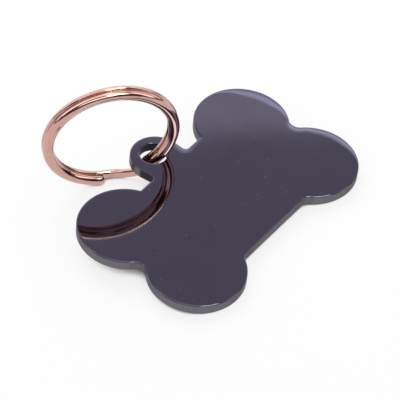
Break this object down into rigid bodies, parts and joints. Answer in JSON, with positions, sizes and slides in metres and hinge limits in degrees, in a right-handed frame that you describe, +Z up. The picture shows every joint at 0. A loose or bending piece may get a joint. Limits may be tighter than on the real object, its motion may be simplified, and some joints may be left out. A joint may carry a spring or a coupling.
{
  "type": "pet id tag",
  "caption": "Bone shaped metal identity tag for a pet's collar, hanging by a lug on a split ring of flattened wire.",
  "frame": {"origin": "middle of the bone on the tag's back face", "axes": "+X along the bone, +Y towards the lug, +Z up from the surface that the tag lies on; the tag slopes by 6.1 degrees because the ring lifts its lug"},
  "size_m": [0.041, 0.0349, 0.0195],
  "materials": {
    "dark_plate": "dark grey mirror polish",
    "rose_ring": "rose gold plate, polished"
  },
  "bodies": {
    "tag": {"tag_plate": "dark_plate"},
    "ring": {"split_ring": "rose_ring"}
  },
  "joints": [
    {"name": "ring_swing", "type": "hinge", "parent": "tag", "child": "ring", "pos_m": [0, 0.01165, 0.00205], "axis": [0, -0.1063, 0.9943], "range_deg": [-128, 26]}
  ]
}
